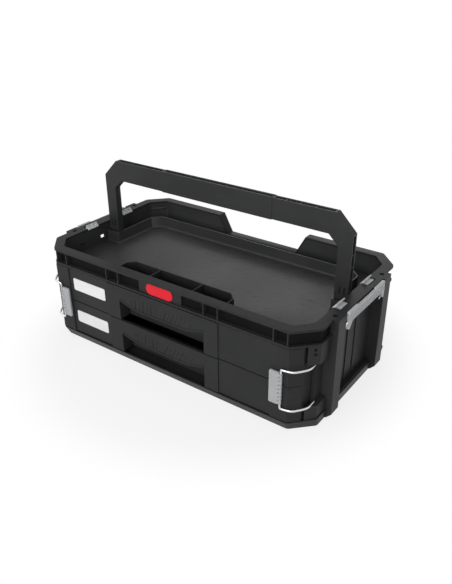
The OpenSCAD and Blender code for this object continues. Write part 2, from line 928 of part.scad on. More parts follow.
// Pad that turns on the wire; combed along the wire
module corner_pad() {
    z0 = corner_z - pad_h / 2;
    pitch = (pad_h - 8) / knuckles;
    color(grey)
    difference() {
        union() {
            block([pad_x, -pad_face - 0.1, z0], [wire_x, -pad_face - pad_t, z0 + pad_h]);
            translate([wire_x, -pad_y, z0])
                cylinder(h = pad_h, r = pad_y - pad_face - 0.1 + 0.2);
        }
        translate([wire_x, -pad_y, z0 - 1])
            cylinder(h = pad_h + 2, r = wire_r + pin_gap);
        for (i = [1 : knuckles - 1])
            block(
                [wire_x - 3, -pad_y - 6, z0 + 4 + i * pitch - 0.7],
                [wire_x + 5, -pad_y + 6, z0 + 4 + i * pitch + 0.7]
            );
    }
}

// Wire of a side latch: level along the side, arms down to pins in the pillars
module side_wire() {
    y = side_arm_y;
    pin_l = side_bore_d + pillar_y - y + wire_r;
    color(nickel) {
        tube(
            bent_path([
                [side_pin[0], y, side_pin[1]], [side_hinge[0], y, side_hinge[1]],
                [side_hinge[0], -y, side_hinge[1]], [side_pin[0], -y, side_pin[1]]
            ], wire_bend),
            wire_r, [0.8, 0.1, -0.6]
        );
        for (end = [-1, 1])
            translate([side_pin[0], end * (y + pin_l / 2 - wire_r - 0.6), side_pin[1]])
                rotate([90, 0, 0])
                    cylinder(h = pin_l, r = wire_r, center = true);
    }
}

side_teeth = 15;

module side_pad() {
    l = side_pad_l;
    r = pad_t / 2 + 0.2;
    pitch = (l - 20) / side_teeth;
    color(grey)
    difference() {
        union() {
            block([side_hinge[0] - r, -l / 2, side_hinge[1]], [side_hinge[0] + r, l / 2, rim_h]);
            // a leg at each end reaches down past the wire
            for (end = [-1, 1])
                translate([side_hinge[0] - r, 0, 0])
                    rotate([90, 0, 90])
                        linear_extrude(2 * r)
                            polygon([
                                for (p = [[0, 0], [0, -12], [3.5, -12], [9, -5], [16, 0]])
                                    [end * (l / 2 - p[0]), side_hinge[1] + p[1]]
                            ]);
            translate([side_hinge[0], 0, side_hinge[1]])
                rotate([90, 0, 0])
                    cylinder(h = l, r = wire_r + 1.1, center = true);
        }
        translate([side_hinge[0], 0, side_hinge[1]])
            rotate([90, 0, 0])
                cylinder(h = l + 2, r = wire_r + pin_gap, center = true);
        // the middle stands lower than the ends
        block([side_hinge[0] - r - 1, -l / 4, rim_h - 2.5], [side_hinge[0] + r + 1, l / 4, rim_h + 1]);
        for (i = [0 : side_teeth])
            block(
                [side_hinge[0] + r - 1, -l / 2 + 10 + i * pitch - 1, side_hinge[1] - 6],
                [side_hinge[0] + r + 2, -l / 2 + 10 + i * pitch + 1, rim_h - 5]
            );
    }
}

// ---------------------------------------------------------------- nodes

base_shell();
left() side_frame();  // side_frame_left
side_frame();  // side_frame_right
rear_panel();
left() corner_post();  // corner_post_left
corner_post();  // corner_post_right
top_rim();
tray_liner();
front_bin();
left() runner(upper_z);  // runner_upper_left
runner(upper_z);  // runner_upper_right
left() runner(lower_z);  // runner_lower_left
runner(lower_z);  // runner_lower_right
left() stack_catch(catch_y[0]);  // stack_catch_front_left
stack_catch(catch_y[0]);  // stack_catch_front_right
left() stack_catch(catch_y[1]);  // stack_catch_rear_left
stack_catch(catch_y[1]);  // stack_catch_rear_right
badge();
base_screws();
left() pivot_pin();  // pivot_pin_left
pivot_pin();  // pivot_pin_right
left() handle_arm();  // handle_arm_left
handle_arm();  // handle_arm_right
handle_sleeve();
drawer_tub(upper_z);  // drawer_upper_tub
drawer_front(upper_z);  // drawer_upper_front
drawer_label(upper_z);  // drawer_upper_label
drawer_tub(lower_z);  // drawer_lower_tub
drawer_front(lower_z);  // drawer_lower_front
drawer_label(lower_z);  // drawer_lower_label
left() corner_wire();  // corner_wire_left
corner_wire();  // corner_wire_right
left() corner_pad();  // corner_pad_left
corner_pad();  // corner_pad_right
left() side_wire();  // side_wire_left
side_wire();  // side_wire_right
left() side_pad();  // side_pad_left
side_pad();  // side_pad_right
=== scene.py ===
import json
import math
import bmesh
import bpy
from mathutils import Matrix, Vector


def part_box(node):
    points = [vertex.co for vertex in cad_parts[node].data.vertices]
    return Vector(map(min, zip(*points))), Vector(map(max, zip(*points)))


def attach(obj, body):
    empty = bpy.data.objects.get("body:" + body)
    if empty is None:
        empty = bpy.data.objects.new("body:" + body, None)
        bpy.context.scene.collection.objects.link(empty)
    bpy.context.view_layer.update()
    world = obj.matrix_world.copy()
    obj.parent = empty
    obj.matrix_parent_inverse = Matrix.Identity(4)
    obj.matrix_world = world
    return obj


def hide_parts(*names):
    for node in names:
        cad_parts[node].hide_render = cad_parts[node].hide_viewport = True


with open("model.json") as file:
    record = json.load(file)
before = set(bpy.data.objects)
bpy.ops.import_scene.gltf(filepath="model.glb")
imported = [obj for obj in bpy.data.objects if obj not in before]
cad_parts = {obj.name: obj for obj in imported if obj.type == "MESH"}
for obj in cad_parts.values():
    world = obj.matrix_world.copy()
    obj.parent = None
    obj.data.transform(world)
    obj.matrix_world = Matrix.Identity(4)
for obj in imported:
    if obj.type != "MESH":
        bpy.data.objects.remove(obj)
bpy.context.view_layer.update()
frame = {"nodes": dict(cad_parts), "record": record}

# ------------------------------------------------------------------ room
# A plain pale floor, soft studio light from overhead and from both sides, and the
# camera, which stands above the front right corner of the caddy.
scene = bpy.context.scene
scene.view_settings.view_transform = "Standard"

azimuth, elevation, roll = (math.radians(a) for a in (35.931, 28.349, -0.330))
eye = (0.60558, -0.80972, 0.64091)
back = Vector((
    math.sin(azimuth) * math.cos(elevation),
    -math.cos(azimuth) * math.cos(elevation),
    math.sin(elevation),
))
level = (-back).cross(Vector((0, 0, 1))).normalized()
upright = level.cross(-back)
right = level * math.cos(roll) + upright * math.sin(roll)
up = upright * math.cos(roll) - level * math.sin(roll)
camera = bpy.data.objects.new("camera", bpy.data.cameras.new("camera"))
scene.collection.objects.link(camera)
scene.camera = camera
camera.matrix_world = Matrix((
    (right.x, up.x, back.x, eye[0]),
    (right.y, up.y, back.y, eye[1]),
    (right.z, up.z, back.z, eye[2]),
    (0, 0, 0, 1),
))
camera.data.sensor_width = 36
camera.data.lens = 39.30
camera.data.clip_start, camera.data.clip_end = 0.05, 20


def soft_lamp(name, place, aim, size, watts):
    """A rectangular area lamp that faces aim."""
    lamp = bpy.data.objects.new(name, bpy.data.lights.new(name, "AREA"))
    scene.collection.objects.link(lamp)
    lamp.data.shape = "RECTANGLE"
    lamp.data.size, lamp.data.size_y = size
    lamp.data.energy = watts
    lamp.location = place
    lamp.rotation_mode = "QUATERNION"
    lamp.rotation_quaternion = (Vector(place) - Vector(aim)).to_track_quat("Z", "Y")


soft_lamp("lamp_top", (-0.10, 0.25, 1.75), (0, 0, 0.1), (1.7, 1.3), 4)
soft_lamp("lamp_left", (-1.60, -0.90, 1.10), (0, 0, 0.12), (0.9, 1.2), 7)
soft_lamp("lamp_front", (0.30, -2.00, 0.90), (0, 0, 0.1), (1.4, 0.9), 25)
soft_lamp("lamp_right", (1.80, 0.30, 0.75), (0.2, 0, 0.12), (0.8, 1.2), 1)
soft_lamp("lamp_near", (1.30, -1.60, 1.00), (0, 0, 0.1), (1.2, 1), 4)
soft_lamp("lamp_rear", (-0.90, 2.00, 1.00), (0, 0, 0.12), (1.2, 0.8), 5)


def combined(nodes, links, operation, *sources):
    """The output of a Math node that works on the given outputs."""
    step = nodes.new("ShaderNodeMath")
    step.operation = operation
    for socket, source in zip(step.inputs, sources):
        links.new(source, socket)
    return step.outputs[0]


def seen_directly(nodes, links):
    """1 for what the camera sees, directly or in a reflection, and 0 for light that falls."""
    ray = nodes.new("ShaderNodeLightPath").outputs
    seen = combined(nodes, links, "MAXIMUM", ray["Is Camera Ray"], ray["Is Transmission Ray"])
    return combined(nodes, links, "MAXIMUM", seen, ray["Is Glossy Ray"])


world = bpy.data.worlds.new("studio")
scene.world = world
world.use_nodes = True
world_nodes, world_links = world.node_tree.nodes, world.node_tree.links
world_nodes.clear()
room_light = world_nodes.new("ShaderNodeBackground")
room_light.inputs["Color"].default_value = (0.97, 0.98, 1.0, 1)
room_light.inputs["Strength"].default_value = 0.18
backdrop = world_nodes.new("ShaderNodeBackground")
backdrop.inputs["Color"].default_value = (1, 1, 1, 1)
backdrop.inputs["Strength"].default_value = 1.0
chosen = world_nodes.new("ShaderNodeMixShader")
world_links.new(seen_directly(world_nodes, world_links), chosen.inputs[0])
world_links.new(room_light.outputs[0], chosen.inputs[1])
world_links.new(backdrop.outputs[0], chosen.inputs[2])
world_out = world_nodes.new("ShaderNodeOutputWorld")
world_links.new(chosen.outputs[0], world_out.inputs["Surface"])

floor_size, floor_drop = 14, 0.0003
floor = bpy.data.objects.new("floor", bpy.data.meshes.new("floor"))
scene.collection.objects.link(floor)
shape = bmesh.new()
bmesh.ops.create_grid(shape, x_segments=1, y_segments=1, size=floor_size / 2)
shape.to_mesh(floor.data)
shape.free()
floor.data.transform(Matrix.Translation((0, 0, -floor_drop)))

# white paper that glows a little for the camera, and fully far from the object
paper = bpy.data.materials.new("white_paper")
paper.use_nodes = True
nodes, links = paper.node_tree.nodes, paper.node_tree.links
nodes.clear()
matt = nodes.new("ShaderNodeBsdfDiffuse")
matt.inputs["Color"].default_value = (0.88, 0.88, 0.88, 1)
glow = nodes.new("ShaderNodeEmission")
glow.inputs["Strength"].default_value = 1.0
place = nodes.new("ShaderNodeTexCoord")
distance = nodes.new("ShaderNodeVectorMath")
distance.operation = "LENGTH"
links.new(place.outputs["Object"], distance.inputs[0])
spread = nodes.new("ShaderNodeMapRange")
spread.interpolation_type = "SMOOTHSTEP"
spread.inputs["From Min"].default_value = 0.28
spread.inputs["From Max"].default_value = 0.40
spread.inputs["To Min"].default_value = 0.80
spread.inputs["To Max"].default_value = 1.0
links.new(distance.outputs["Value"], spread.inputs["Value"])
share = combined(
    nodes, links, "MULTIPLY", spread.outputs["Result"], seen_directly(nodes, links)
)
mix = nodes.new("ShaderNodeMixShader")
links.new(share, mix.inputs[0])
links.new(matt.outputs[0], mix.inputs[1])
links.new(glow.outputs[0], mix.inputs[2])
out = nodes.new("ShaderNodeOutputMaterial")
links.new(mix.outputs[0], out.inputs["Surface"])
floor.data.materials.append(paper)

# ------------------------------------------------------------------ base
# The base is a shallow ribbed tray of black polypropylene, moulded in one piece.
# Six pan head screws come up through its bosses into the side frames.
mm = 0.001
weld_gap = 0.001 * mm               # corners closer than this are one corner
bodies = frame["record"]["behaviour"]["bodies"]
body_of = {node: body for body, members in bodies.items() for node in members}


def grain_group():
    """Fine spark grain of a moulding: a height, a slowly drifting tone, and faint rub marks."""
    group = bpy.data.node_groups.new("moulded_grain", "ShaderNodeTree")
    for name, value in (("Grain", 900.0), ("Drift", 9.0), ("Rubbed", 0.5)):
        socket = group.interface.new_socket(name, in_out="INPUT", socket_type="NodeSocketFloat")
        socket.default_value = value
    for name in ("Height", "Tone", "Gloss"):
        group.interface.new_socket(name, in_out="OUTPUT", socket_type="NodeSocketFloat")
    nodes, links = group.nodes, group.links
    given, made = nodes.new("NodeGroupInput"), nodes.new("NodeGroupOutput")
    place = nodes.new("ShaderNodeTexCoord")

    pebbles = nodes.new("ShaderNodeTexVoronoi")
    links.new(place.outputs["Object"], pebbles.inputs["Vector"])
    links.new(given.outputs["Grain"], pebbles.inputs["Scale"])
    fine = nodes.new("ShaderNodeTexNoise")
    fine.inputs["Detail"].default_value = 3
    links.new(place.outputs["Object"], fine.inputs["Vector"])
    links.new(given.outputs["Grain"], fine.inputs["Scale"])
    height = combined(nodes, links, "ADD", pebbles.outputs["Distance"], fine.outputs["Fac"])
    links.new(height, made.inputs["Height"])

    drift = nodes.new("ShaderNodeTexNoise")
    drift.inputs["Detail"].default_value = 4
    links.new(place.outputs["Object"], drift.inputs["Vector"])
    links.new(given.outputs["Drift"], drift.inputs["Scale"])

    # rub marks: thin streaks, thresholded from stretched noise
    streak_place = nodes.new("ShaderNodeMapping")
    streak_place.inputs["Rotation"].default_value = (0, 0, 0.4)
    streak_place.inputs["Scale"].default_value = (14, 160, 60)
    links.new(place.outputs["Object"], streak_place.inputs["Vector"])
    streaks = nodes.new("ShaderNodeTexNoise")
    streaks.inputs["Detail"].default_value = 2
    streaks.inputs["Scale"].default_value = 1.0
    links.new(streak_place.outputs["Vector"], streaks.inputs["Vector"])
    thin = nodes.new("ShaderNodeMapRange")
    thin.inputs["From Min"].default_value = 0.62
    thin.inputs["From Max"].default_value = 0.74
    links.new(streaks.outputs["Fac"], thin.inputs["Value"])
    rub = combined(nodes, links, "MULTIPLY", thin.outputs["Result"], given.outputs["Rubbed"])
    for name, share in (("Tone", 0.25), ("Gloss", 0.4)):
        added = nodes.new("ShaderNodeMath")
        added.operation = "MULTIPLY_ADD"
        added.inputs[1].default_value = share
        links.new(rub, added.inputs[0])
        links.new(drift.outputs["Fac"], added.inputs[2])
        links.new(added.outputs[0], made.inputs[name])
    return group


moulded_grain = grain_group()


def moulded_plastic(
    name, dark, light, rough, grain=900.0, depth=0.14 * mm, rubbed=0.5, coat=0.0, shine=0.12
):
    """Grained plastic whose colour drifts from dark to light, and its roughness over rough."""
    material = bpy.data.materials.new(name)
    material.use_nodes = True
    nodes, links = material.node_tree.nodes, material.node_tree.links
    bsdf = nodes["Principled BSDF"]
    bsdf.inputs["Coat Weight"].default_value = coat
    bsdf.inputs["Specular IOR Level"].default_value = shine
    skin = nodes.new("ShaderNodeGroup")
    skin.node_tree = moulded_grain
    skin.inputs["Grain"].default_value = grain
    skin.inputs["Rubbed"].default_value = rubbed
    low_tone, high_tone = 0.3, 0.7
    colour = nodes.new("ShaderNodeValToRGB")
    first, last = colour.color_ramp.elements
    first.position, first.color = low_tone, (*dark, 1)
    last.position, last.color = high_tone, (*light, 1)
    links.new(skin.outputs["Tone"], colour.inputs["Fac"])
    links.new(colour.outputs["Color"], bsdf.inputs["Base Color"])
    polish = nodes.new("ShaderNodeMapRange")
    polish.inputs["From Min"].default_value = low_tone
    polish.inputs["From Max"].default_value = high_tone
    polish.inputs["To Min"].default_value = rough[0]
    polish.inputs["To Max"].default_value = rough[1]
    links.new(skin.outputs["Gloss"], polish.inputs["Value"])
    links.new(polish.outputs["Result"], bsdf.inputs["Roughness"])
    bump = nodes.new("ShaderNodeBump")
    bump.inputs["Strength"].default_value = 0.5
    bump.inputs["Distance"].default_value = depth
    links.new(skin.outputs["Height"], bump.inputs["Height"])
    links.new(bump.outputs["Normal"], bsdf.inputs["Normal"])
    return material


case_black = moulded_plastic(
    "case_black", (0.0238, 0.0241, 0.0250), (0.0306, 0.0309, 0.0320), (0.40, 0.52)
)


def finish_piece(piece, material, slot, *nodes, body=None):
    """Gives a finished mesh its material and its body, and hides the CAD nodes that it stands for.
    """
    if material is not None:
        piece.data.materials.clear()
        piece.data.materials.append(material)
    if nodes:
        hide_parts(*nodes)
    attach(piece, body or body_of[nodes[0]])
    return piece


def plain_mesh(piece):
    """Applies a piece's modifiers, so that its mesh is final."""
    graph = bpy.context.evaluated_depsgraph_get()
    done = bpy.data.meshes.new_from_object(
        piece.evaluated_get(graph), preserve_all_data_layers=True, depsgraph=graph
    )
    piece.modifiers.clear()
    piece.data = done
    return piece


def smoothed(piece, sharp=35):
    """Smooth faces that stay crisp where they meet at more than sharp degrees."""
    for face in piece.data.polygons:
        face.use_smooth = True
    piece.data.set_sharp_from_angle(angle=math.radians(sharp))
    return piece


def soften_edges(piece, width, segments):
    """Rounds the sharp edges of a piece, as a mould leaves them."""
    smoothed(piece, 32)
    edge = piece.modifiers.new("edges", "BEVEL")
    edge.limit_method = "ANGLE"
    edge.angle_limit = math.radians(28)
    edge.width = width
    edge.segments = segments
    edge.use_clamp_overlap = True
    edge.harden_normals = True
    return plain_mesh(piece)


def moulded(node, material, slot, width=0.5 * mm, segments=2):
    """The CAD node's own shape with clean faces and softened edges."""
    piece = bpy.data.objects.new(node + "_moulded", frame["nodes"][node].data.copy())
    scene.collection.objects.link(piece)
    shape = bmesh.new()
    shape.from_mesh(piece.data)
    bmesh.ops.remove_doubles(shape, verts=shape.verts, dist=weld_gap)
    bmesh.ops.dissolve_limit(
        shape, angle_limit=math.radians(0.6), verts=shape.verts, edges=shape.edges
    )
    shape.to_mesh(piece.data)
    shape.free()
    soften_edges(piece, width, segments)
    return finish_piece(piece, material, slot, node)


moulded("base_shell", case_black, "case_black", 0.7 * mm)


def places_tree():
    """Geometry Nodes tree: a copy of Item at each vertex of Places, real and of Material."""
    tree = bpy.data.node_groups.new("copies_at_places", "GeometryNodeTree")
    for name, kind in (("Item", "Object"), ("Places", "Object"), ("Material", "Material")):
        tree.interface.new_socket(name, in_out="INPUT", socket_type="NodeSocket" + kind)
    tree.interface.new_socket("Geometry", in_out="OUTPUT", socket_type="NodeSocketGeometry")
    nodes, links = tree.nodes, tree.links
    given, made = nodes.new("NodeGroupInput"), nodes.new("NodeGroupOutput")
    places = nodes.new("GeometryNodeObjectInfo")
    links.new(given.outputs["Places"], places.inputs["Object"])
    item = nodes.new("GeometryNodeObjectInfo")
    links.new(given.outputs["Item"], item.inputs["Object"])
    copies = nodes.new("GeometryNodeInstanceOnPoints")
    links.new(places.outputs["Geometry"], copies.inputs["Points"])
    links.new(item.outputs["Geometry"], copies.inputs["Instance"])
    real = nodes.new("GeometryNodeRealizeInstances")
    links.new(copies.outputs["Instances"], real.inputs["Geometry"])
    coat = nodes.new("GeometryNodeSetMaterial")
    links.new(real.outputs["Geometry"], coat.inputs["Geometry"])
    links.new(given.outputs["Material"], coat.inputs["Material"])
    links.new(coat.outputs["Geometry"], made.inputs["Geometry"])
    return tree


copies_at_places = places_tree()


def copies_of(item, places, material, name):
    """A plain mesh with a copy of item at each of the places; item itself is used up."""
    points = bpy.data.objects.new(name + "_places", bpy.data.meshes.new(name + "_places"))
    points.data.from_pydata(places, [], [])
    piece = bpy.data.objects.new(name, bpy.data.meshes.new(name))
    for thing in (points, piece):
        scene.collection.objects.link(thing)
    spread = piece.modifiers.new("spread", "NODES")
    spread.node_group = copies_at_places
    given = {"Item": item, "Places": points, "Material": material}
    for socket in copies_at_places.interface.items_tree:
        if socket.in_out == "INPUT":
            spread[socket.identifier] = given[socket.name]
    plain_mesh(piece)
    bpy.data.objects.remove(item)
    bpy.data.objects.remove(points)
    return piece


def mesh_object(name, shape):
    """An object from a bmesh, which is freed."""
    mesh = bpy.data.meshes.new(name)
    shape.to_mesh(mesh)
    shape.free()
    piece = bpy.data.objects.new(name, mesh)
    scene.collection.objects.link(piece)
    return piece


def joined(name, pieces):
    """One object from several."""
    shape = bmesh.new()
    for piece in pieces:
        shape.from_mesh(piece.data)
        bpy.data.objects.remove(piece)
    return mesh_object(name, shape)


def turned(name, profile, sides=32):
    """A solid turned about Z from a profile of (radius, height) points."""
    shape = bmesh.new()
    rings = []
    for radius, height in profile:
        if radius < weld_gap:
            rings.append([shape.verts.new((0, 0, height))] * sides)
        else:
            rings.append([
                shape.verts.new((radius * math.cos(t), radius * math.sin(t), height))
                for t in (math.tau * i / sides for i in range(sides))
            ])
    for low, high in zip(rings, rings[1:]):
        for i in range(sides):
            j = (i + 1) % sides
            corners = list(dict.fromkeys((low[i], low[j], high[j], high[i])))
            if len(corners) > 2:
                shape.faces.new(corners)
    bmesh.ops.recalc_face_normals(shape, faces=shape.faces)
    return smoothed(mesh_object(name, shape))


def metal(name, colour, rough, grain):
    """Plated metal with fine uneven polish."""
    material = bpy.data.materials.new(name)
    material.use_nodes = True
    nodes, links = material.node_tree.nodes, material.node_tree.links
    bsdf = nodes["Principled BSDF"]
    bsdf.inputs["Metallic"].default_value = 1.0
    skin = nodes.new("ShaderNodeGroup")
    skin.node_tree = moulded_grain
    skin.inputs["Grain"].default_value = grain
    shade = nodes.new("ShaderNodeValToRGB")
    worn = 0.85
    shade.color_ramp.elements[0].color = (*(c * worn for c in colour), 1)
    shade.color_ramp.elements[1].color = (*colour, 1)
    links.new(skin.outputs["Tone"], shade.inputs["Fac"])
    links.new(shade.outputs["Color"], bsdf.inputs["Base Color"])
    polish = nodes.new("ShaderNodeMapRange")
    polish.inputs["To Min"].default_value = rough[0]
    polish.inputs["To Max"].default_value = rough[1]
    links.new(skin.outputs["Gloss"], polish.inputs["Value"])
    links.new(polish.outputs["Result"], bsdf.inputs["Roughness"])
    return material


screw_steel = metal("screw_steel", (0.58, 0.58, 0.59), (0.2, 0.45), 700.0)
low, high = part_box("base_screws")
head_r, head_h, shank_r = 4 * mm, 2.6 * mm, 1.95 * mm
socket_r, socket_d, point_l = 1.6 * mm, 1.3 * mm, 1 * mm
tip = high.z - low.z
screw = turned("screw", [
    (0, socket_d), (socket_r, socket_d), (socket_r * 1.1, 0), (head_r * 0.72, 0),
    (head_r * 0.93, 0.5 * mm), (head_r, 1.3 * mm), (head_r, head_h), (shank_r, head_h),
    (shank_r, tip - point_l), (shank_r * 0.4, tip), (0, tip),
], sides=24)
screw_x = high.x - head_r
screw_y = (low.y + head_r, 0, high.y - head_r)
screw_places = [(x, y, low.z) for x in (-screw_x, screw_x) for y in screw_y]
screws = copies_of(screw, screw_places, screw_steel, "pan_head_screws")
finish_piece(screws, None, "screw_steel", "base_screws")

# ----------------------------------------------------------- side frames
# Each side of the case is one black moulding: an open bay between two pillars, with
# thin ribs on its wall and a hollow box behind it that carries the drawer runners.
for side in ("left", "right"):
    moulded("side_frame_" + side, case_black, "case_black", 0.6 * mm)

# ------------------------------------------------------------ rear panel
# The back of the case is a black moulded panel with upright ribs. It is welded to
# the side frames and carries the rear of the rim.
moulded("rear_panel", case_black, "case_black", 0.6 * mm)

# ---------------------------------------------------------- corner posts
# A narrow charcoal post closes the case at each front corner, beside the drawers.
# The corner latches lie against these two posts.
case_charcoal = moulded_plastic(
    "case_charcoal", (0.0263, 0.0265, 0.0272), (0.0331, 0.0333, 0.0342), (0.36, 0.48),
    rubbed=0.8, shine=0.06,
)
for side in ("left", "right"):
    moulded("corner_post_" + side, case_charcoal, "case_charcoal", 0.6 * mm)

# -------------------------------------------------------------- top rim
# The charcoal rim is one moulding with a ribbed band outside, a flange round the
# tray and a plate with stacking holes over each pair of pillars. It snaps on.
moulded("top_rim", case_charcoal, "case_charcoal", 0.6 * mm)


def swept_strip(name, path, profile):
    """A strip whose profile of (inwards, up) points follows a level open path, with mitres."""
    shape = bmesh.new()
    path = [Vector(p) for p in path]
    rows = []
    for i, point in enumerate(path):
        before = (point - path[i - 1]).normalized() if i else (path[1] - point).normalized()
        after = (path[i + 1] - point).normalized() if i < len(path) - 1 else before
        inwards = Vector((-before.y - after.y, before.x + after.x)).normalized()
        inwards /= inwards.dot(Vector((-before.y, before.x)))
        rows.append([
            shape.verts.new((point.x + inwards.x * u, point.y + inwards.y * u, v))
            for u, v in profile
        ])
    for low, high in zip(rows, rows[1:]):
        for i in range(len(profile)):
            j = (i + 1) % len(profile)
            shape.faces.new((low[i], low[j], high[j], high[i]))
    shape.faces.new(rows[0])
    shape.faces.new(list(reversed(rows[-1])))
    bmesh.ops.recalc_face_normals(shape, faces=shape.faces)
    return smoothed(mesh_object(name, shape), 32)


# thin dark panels close the fields of the front band: the wide ones part of the way in,
# the narrow ones between paired ribs at the back, and the two corners near the edge;
# their near-black colour, darker than the case plastic, is painted shade in the fields
panel_t, panel_low, panel_top = 1.0 * mm, 151.8 * mm, 173.2 * mm
panel_profile = [(0, panel_low), (panel_t, panel_low), (panel_t, panel_top), (0, panel_top)]
wide_y, narrow_y = -150, -147
fields = ((45.2, 89, wide_y), (89.8, 115, narrow_y), (116, 213, wide_y), (214, 236.5, narrow_y))
corner_run = [(237, -152.5), (239.2, -152.5), (269.5, -120.1), (269.5, -91.5)]
panels = []
for side in (1, -1):
    runs = [[(start, y), (end, y)] for start, end, y in fields] + [corner_run]
    for run in runs:
        placed = [(side * x * mm, y * mm) for x, y in run]
        panels.append(swept_strip("field", placed[::side], panel_profile))
# painted shade: the case plastic coloured near-black for the shade inside the band's fields
field_black = moulded_plastic(
    "field_black", (0.0062, 0.0063, 0.0066), (0.0085, 0.0086, 0.0090), (0.50, 0.62), shine=0.03
)
finish_piece(joined("band_fields", panels), field_black, "case_black", body="case")

# ----------------------------------------------------------- tray liner
# The open tray is a deep black moulding that hangs inside the rim. Its floor has a
# hammered texture, and a wall parts it from the trough that the handle folds into.


def hammered_group():
    """Scattered short dents, longer than wide, on a moulded floor and not above Floor Height."""
    group = bpy.data.node_groups.new("hammered_floor", "ShaderNodeTree")
    group.interface.new_socket("Floor Height", in_out="INPUT", socket_type="NodeSocketFloat")
    for name in ("Height", "Shade"):
        group.interface.new_socket(name, in_out="OUTPUT", socket_type="NodeSocketFloat")
    nodes, links = group.nodes, group.links
    given, made = nodes.new("NodeGroupInput"), nodes.new("NodeGroupOutput")
    place = nodes.new("ShaderNodeTexCoord")
    stretch = nodes.new("ShaderNodeMapping")
    stretch.vector_type = "TEXTURE"
    dent_l, dent_w, dent_turn = 18 * mm, 6.2 * mm, 0.6
    stretch.inputs["Rotation"].default_value = (0, 0, dent_turn)
    stretch.inputs["Scale"].default_value = (dent_l, dent_w, 1)
    links.new(place.outputs["Object"], stretch.inputs["Vector"])
    dents = nodes.new("ShaderNodeTexVoronoi")
    dents.feature = "F1"
    dents.inputs["Scale"].default_value = 1.0
    links.new(stretch.outputs["Vector"], dents.inputs["Vector"])
    soft = nodes.new("ShaderNodeMapRange")
    soft.interpolation_type = "SMOOTHSTEP"
    soft.inputs["From Min"].default_value = 0.45
    soft.inputs["From Max"].default_value = 0.06
    links.new(dents.outputs["Distance"], soft.inputs["Value"])
    part = nodes.new("ShaderNodeSeparateXYZ")
    links.new(place.outputs["Object"], part.inputs[0])
    below = combined(nodes, links, "LESS_THAN", part.outputs["Z"], given.outputs["Floor Height"])
    tint = nodes.new("ShaderNodeSeparateColor")
    links.new(dents.outputs["Color"], tint.inputs["Color"])
    uneven = nodes.new("ShaderNodeMapRange")
    uneven.inputs["From Min"].default_value = 0.22
    uneven.inputs["From Max"].default_value = 0.65
    links.new(tint.outputs["Red"], uneven.inputs["Value"])
    kept = combined(nodes, links, "MULTIPLY", below, uneven.outputs["Result"])
    dented = combined(nodes, links, "MULTIPLY", soft.outputs["Result"], kept)
    links.new(dented, made.inputs["Height"])
    # painted shade: the colour inside the dents is darkened to half
    shade = nodes.new("ShaderNodeMapRange")
    shade.inputs["To Min"].default_value = 1.0
    shade.inputs["To Max"].default_value = 0.5
    links.new(dented, shade.inputs["Value"])
    links.new(shade.outputs["Result"], made.inputs["Shade"])
    return group


floor_z = 138 * mm
# the tray's copy of the black case plastic is lighter than case_black: painted light for the sheen
# on the tray floor
tray_black = moulded_plastic(
    "tray_black", (0.0280, 0.0284, 0.0291), (0.0370, 0.0374, 0.0383), (0.42, 0.55), shine=0.24
)
nodes, links = tray_black.node_tree.nodes, tray_black.node_tree.links
bsdf = nodes["Principled BSDF"]
dents = nodes.new("ShaderNodeGroup")
dents.node_tree = hammered_group()
dents.inputs["Floor Height"].default_value = floor_z + 0.1 * mm
relief = nodes.new("ShaderNodeBump")
relief.invert = True
relief.inputs["Strength"].default_value = 0.35
relief.inputs["Distance"].default_value = 0.5 * mm
links.new(dents.outputs["Height"], relief.inputs["Height"])
links.new(nodes["Bump"].outputs["Normal"], relief.inputs["Normal"])
links.new(relief.outputs["Normal"], bsdf.inputs["Normal"])
# painted shade: the dents darken the liner's base colour
darker = nodes.new("ShaderNodeMix")
darker.data_type, darker.blend_type = "RGBA", "MULTIPLY"
darker.inputs["Factor"].default_value = 1.0
links.new(nodes["Color Ramp"].outputs["Color"], darker.inputs["A"])
links.new(dents.outputs["Shade"], darker.inputs["B"])
links.new(darker.outputs["Result"], bsdf.inputs["Base Color"])
moulded("tray_liner", tray_black, "case_black", 0.6 * mm)

# a hollow fillet where the trough wall meets the floor
cove, sunk = 4 * mm, 1 * mm
quarter = [math.radians(90 * i / 8) for i in range(9)]
cove_profile = [(-sunk, floor_z - sunk), (cove, floor_z - sunk)] + [
    (cove - cove * math.sin(t), floor_z + cove - cove * math.cos(t)) for t in quarter
] + [(-sunk, floor_z + cove)]
wall_run = [(257, -11.5), (227.5, -11.5), (227.5, 82.8), (211.3, 99)]
right_run = [(x * mm, y * mm) for x, y in wall_run]
cove_run = right_run + [(-x, y) for x, y in reversed(right_run)]
cove_strip = swept_strip("tray_cove", cove_run, cove_profile)
finish_piece(cove_strip, tray_black, "case_black", body="case")

# a rounded bar along the wall of the rear left corner, at half height
bar_r, bar_l, bar_z = 2.6 * mm, 26 * mm, 162 * mm
lower_end = [math.radians(-90 + 15 * i) for i in range(7)]
upper_end = [math.radians(15 * i) for i in range(7)]
bar = turned("corner_bar", [
    (bar_r * math.cos(t), bar_r * math.sin(t) + shift)
    for shift, end in ((-bar_l / 2, lower_end), (bar_l / 2, upper_end)) for t in end
], sides=20)
corner_a, corner_b = Vector((-234.2 * mm, 140 * mm, bar_z)), Vector((-257 * mm, 114.7 * mm, bar_z))
along_corner = (corner_b - corner_a).normalized()
turn = along_corner.to_track_quat("Z", "X").to_matrix().to_4x4()
bar.data.transform(Matrix.Translation((corner_a + corner_b) / 2) @ turn)
finish_piece(bar, tray_black, "case_black", body="case")

# ------------------------------------------------------------ front bin
# A shallow bin with three compartments for small parts stands at the front of the
# tray. It is a black moulding that drops in against the front wall.
moulded("front_bin", case_black, "case_black", 0.6 * mm)

# -------------------------------------------------------------- runners
# Four grey runners of low-friction plastic are screwed inside the side frames. The
# lips of the drawers slide on them.
runner_grey = moulded_plastic(
    "runner_grey", (0.22, 0.22, 0.225), (0.27, 0.27, 0.275), (0.3, 0.42)
)
for level in ("upper", "lower"):
    for side in ("left", "right"):
        moulded(f"runner_{level}_{side}", runner_grey, "runner_grey", 0.4 * mm)

